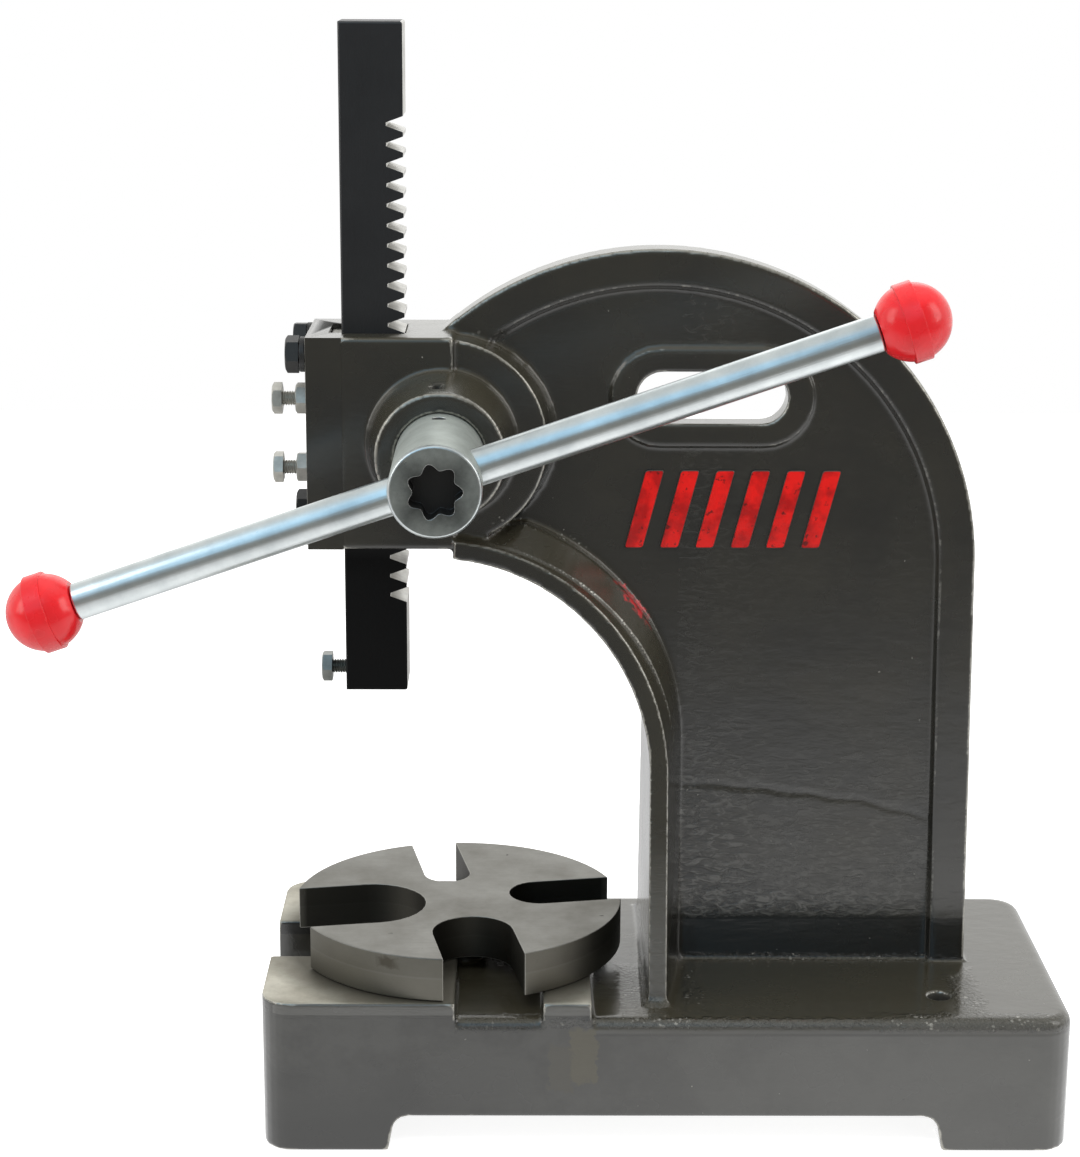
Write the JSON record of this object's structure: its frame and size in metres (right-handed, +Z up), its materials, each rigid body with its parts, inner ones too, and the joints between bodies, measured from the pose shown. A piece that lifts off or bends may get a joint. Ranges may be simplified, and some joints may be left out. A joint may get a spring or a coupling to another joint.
{
  "type": "arbor press",
  "caption": "Bench arbor press with a C-shaped cast frame, slotted turning arbor plate, square rack ram, pinion hub and sliding lever with ball knobs.",
  "frame": {"origin": "centre of the arbor plate's top face, on the axis that the plate turns about", "axes": "+Z up along the ram's travel, +X from the ram towards the column, -Y towards the operator and the lever"},
  "size_m": [0.4144, 0.186, 0.4449],
  "materials": {
    "painted_iron": "glossy dark olive-grey enamel over rough casting",
    "ground_steel": "ground, dull grey",
    "black_oxide": "black oxide, satin",
    "zinc_plate": "zinc plated, satin",
    "bright_plate": "bright zinc plate, drawn bar",
    "red_plastic": "glossy moulded plastic"
  },
  "bodies": {
    "frame": {"frame_casting": "painted_iron", "ram_cover": "painted_iron", "gib_strip": "ground_steel", "cover_bolt_1": "black_oxide", "cover_bolt_2": "black_oxide", "cover_bolt_3": "black_oxide", "cover_bolt_4": "black_oxide", "spring_washer_1": "black_oxide", "spring_washer_2": "black_oxide", "spring_washer_3": "black_oxide", "spring_washer_4": "black_oxide", "gib_screw_upper": "zinc_plate", "gib_screw_lower": "zinc_plate", "lock_nut_upper": "zinc_plate", "lock_nut_lower": "zinc_plate", "rear_bearing": "painted_iron", "bearing_screw_1": "black_oxide", "bearing_screw_2": "black_oxide", "bearing_screw_3": "black_oxide", "plate_pivot": "ground_steel"},
    "pinion": {"pinion_shaft": "ground_steel", "lever_hub": "zinc_plate", "hub_pin": "black_oxide"},
    "lever": {"lever_rod": "bright_plate", "left_knob": "red_plastic", "right_knob": "red_plastic"},
    "ram": {"ram_rack": "black_oxide", "nose_screw": "black_oxide"},
    "plate": {"arbor_plate": "ground_steel"}
  },
  "joints": [
    {"name": "ram_slide", "type": "slide", "parent": "frame", "child": "ram", "axis": [0, 0, 1], "range_m": [-0.094, 0.047]},
    {"name": "pinion_turn", "type": "hinge", "parent": "frame", "child": "pinion", "pos_m": [-0.005, 0, 0.1995], "axis": [0, 1, 0], "range_deg": [-307.9, 154.1]},
    {"name": "lever_slide", "type": "slide", "parent": "pinion", "child": "lever", "axis": [0.9455, 0, 0.3256], "range_m": [-0.1528, 0.1239]},
    {"name": "plate_turn", "type": "hinge", "parent": "frame", "child": "plate", "pos_m": [0, 0, 0], "axis": [0, 0, 1], "continuous": true}
  ],
  "couplings": [
    {"joint": "pinion_turn", "follows": "ram_slide", "rad_per_m": 57.143}
  ]
}
